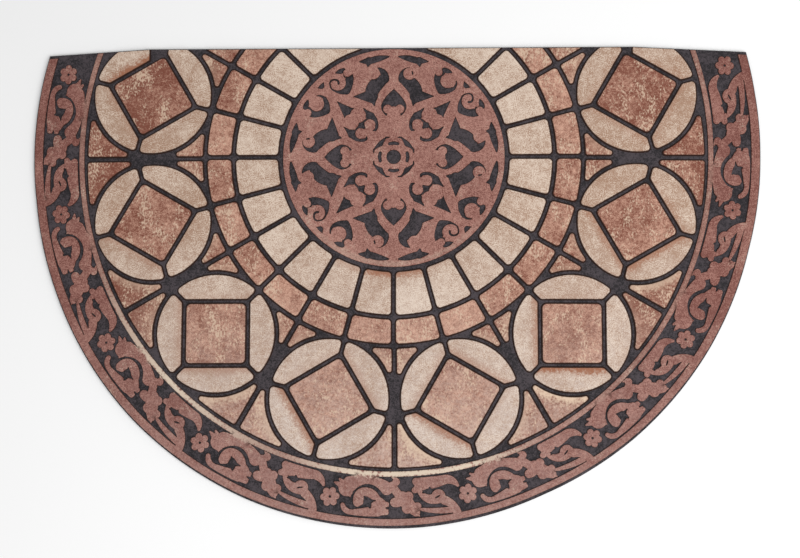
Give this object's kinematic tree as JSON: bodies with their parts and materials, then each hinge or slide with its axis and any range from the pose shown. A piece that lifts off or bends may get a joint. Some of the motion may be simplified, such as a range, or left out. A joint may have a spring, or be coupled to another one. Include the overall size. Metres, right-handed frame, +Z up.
{
  "type": "half-round rubber doormat",
  "caption": "Half-round moulded rubber doormat with raised flocked tiles, a pierced centre medallion and a scroll border.",
  "frame": {"origin": "middle of the mat's box on its flat underside", "axes": "+X along the straight edge, +Y from the curved edge towards the straight edge, +Z up out of the patterned face"},
  "size_m": [0.8888, 0.5834, 0.0064],
  "materials": {
    "rubber": "matt moulded recycled rubber, charcoal with a faint purple cast, fine crumb on the back",
    "flock_cream": "short flock, printed cream with a little tan and orange, matt",
    "flock_clay": "short flock, printed terracotta mottled with rose and cream, matt",
    "flock_rose": "short flock, printed brownish rose, matt"
  },
  "bodies": {
    "root": {"mat": "rubber"}
  },
  "joints": []
}
